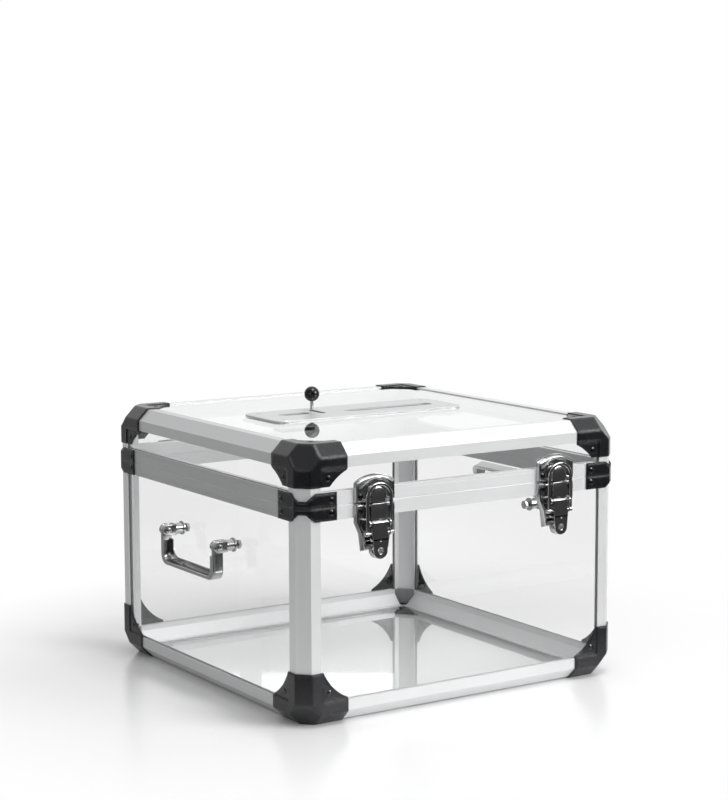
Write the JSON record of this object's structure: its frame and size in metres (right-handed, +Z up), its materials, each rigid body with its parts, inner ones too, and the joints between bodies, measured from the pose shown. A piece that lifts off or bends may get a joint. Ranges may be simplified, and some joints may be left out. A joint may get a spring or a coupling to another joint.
{
  "type": "ballot box",
  "caption": "Clear-sided case with an aluminium edge frame, black corner guards, a hinged lid with draw latches, drop handles, a letter slot with a sliding lever, and a counter.",
  "frame": {"origin": "on the floor, below the middle of the whole outline, latches and hinges included", "axes": "+X to the right along the front, +Y towards the hinged back, +Z up"},
  "size_m": [0.479, 0.4488, 0.3313],
  "materials": {
    "clear_sheet": "clear polished",
    "black_plastic": "semi-gloss",
    "grey_plastic": "matt",
    "dark_steel": "black semi-gloss",
    "satin_aluminium": "satin anodised",
    "chrome_steel": "polished nickel",
    "brushed_plate": "satin",
    "brushed_shutter": "brushed",
    "grey_steel": "satin",
    "black_gloss": "high gloss",
    "counter_black": "matt"
  },
  "bodies": {
    "base": {"base_corner_blocks": "grey_plastic", "base_corner_guard_back_left": "black_plastic", "base_corner_guard_back_right": "black_plastic", "base_corner_guard_front_left": "black_plastic", "base_corner_guard_front_right": "black_plastic", "base_corner_posts": "satin_aluminium", "base_panel_back": "clear_sheet", "base_panel_front": "clear_sheet", "base_panel_left": "clear_sheet", "base_panel_right": "clear_sheet", "base_rail_back": "satin_aluminium", "base_rail_front": "satin_aluminium", "base_rail_left": "satin_aluminium", "base_rail_right": "satin_aluminium", "base_rim_angles": "black_plastic", "base_rim_bars": "satin_aluminium", "base_rivets": "dark_steel", "floor_panel": "clear_sheet", "latch_base_left": "chrome_steel", "latch_base_right": "chrome_steel", "latch_pins": "chrome_steel", "handle_posts": "chrome_steel", "handle_nuts": "chrome_steel", "hinge_leaves_base": "chrome_steel"},
    "lid": {"counter_case": "counter_black", "counter_wheels": "counter_black", "hinge_leaves_lid": "chrome_steel", "latch_keeper_left": "chrome_steel", "latch_keeper_right": "chrome_steel", "lever_plate": "brushed_plate", "lid_corner_blocks": "grey_plastic", "lid_corner_guard_back_left": "black_plastic", "lid_corner_guard_back_right": "black_plastic", "lid_corner_guard_front_left": "black_plastic", "lid_corner_guard_front_right": "black_plastic", "lid_corner_posts": "satin_aluminium", "lid_panel_back": "clear_sheet", "lid_panel_front": "clear_sheet", "lid_panel_left": "clear_sheet", "lid_panel_right": "clear_sheet", "lid_rail_back": "satin_aluminium", "lid_rail_front": "satin_aluminium", "lid_rail_left": "satin_aluminium", "lid_rail_right": "satin_aluminium", "lid_rim_angles": "black_plastic", "lid_rim_bars": "satin_aluminium", "lid_rivets": "dark_steel", "lid_top_panel": "clear_sheet", "plate_screws": "chrome_steel", "shutter_tray": "grey_steel"},
    "voting_lever": {"voting_lever_rod": "chrome_steel", "voting_lever_knob": "black_gloss", "shutter": "brushed_shutter"},
    "units_wheel": {"counter_units_wheel": "counter_black"},
    "lever_left": {"latch_lever_left": "chrome_steel"},
    "loop_left": {"latch_loop_left": "chrome_steel"},
    "lever_right": {"latch_lever_right": "chrome_steel"},
    "loop_right": {"latch_loop_right": "chrome_steel"},
    "bail_left": {"handle_bail_left": "chrome_steel"},
    "bail_right": {"handle_bail_right": "chrome_steel"}
  },
  "joints": [
    {"name": "lid_hinge", "type": "hinge", "parent": "base", "child": "lid", "pos_m": [0, 0.2204, 0.2371], "axis": [-1, 0, 0], "range_deg": [0, 105]},
    {"name": "latch_lever_left", "type": "hinge", "parent": "base", "child": "lever_left", "pos_m": [-0.122, -0.2208, 0.2157], "axis": [-1, 0, 0], "range_deg": [0, 120]},
    {"name": "latch_loop_left", "type": "hinge", "parent": "lever_left", "child": "loop_left", "pos_m": [-0.122, -0.2203, 0.2047], "axis": [-1, 0, 0], "range_deg": [-150, 0]},
    {"name": "latch_lever_right", "type": "hinge", "parent": "base", "child": "lever_right", "pos_m": [0.122, -0.2208, 0.2157], "axis": [-1, 0, 0], "range_deg": [0, 120]},
    {"name": "latch_loop_right", "type": "hinge", "parent": "lever_right", "child": "loop_right", "pos_m": [0.122, -0.2203, 0.2047], "axis": [-1, 0, 0], "range_deg": [-150, 0]},
    {"name": "bail_left", "type": "hinge", "parent": "base", "child": "bail_left", "pos_m": [-0.233, -0.006, 0.1765], "axis": [0, 1, 0], "range_deg": [-22, 202]},
    {"name": "bail_right", "type": "hinge", "parent": "base", "child": "bail_right", "pos_m": [0.233, 0.012, 0.1765], "axis": [0, -1, 0], "range_deg": [-224, 0]},
    {"name": "voting_lever_slide", "type": "slide", "parent": "lid", "child": "voting_lever", "axis": [0, -1, 0], "range_m": [0, 0.024], "stiffness_N_per_m": 60, "springref_m": -0.01},
    {"name": "units_wheel_turn", "type": "hinge", "parent": "lid", "child": "units_wheel", "pos_m": [-0.0666, 0.02, 0.2932], "axis": [1, 0, 0], "range_deg": [0, 36]}
  ],
  "couplings": [
    {"joint": "latch_loop_left", "follows": "latch_lever_left", "ratio": -1.25},
    {"joint": "latch_loop_right", "follows": "latch_lever_right", "ratio": -1.25},
    {"joint": "units_wheel_turn", "follows": "voting_lever_slide", "rad_per_m": 26.1}
  ]
}
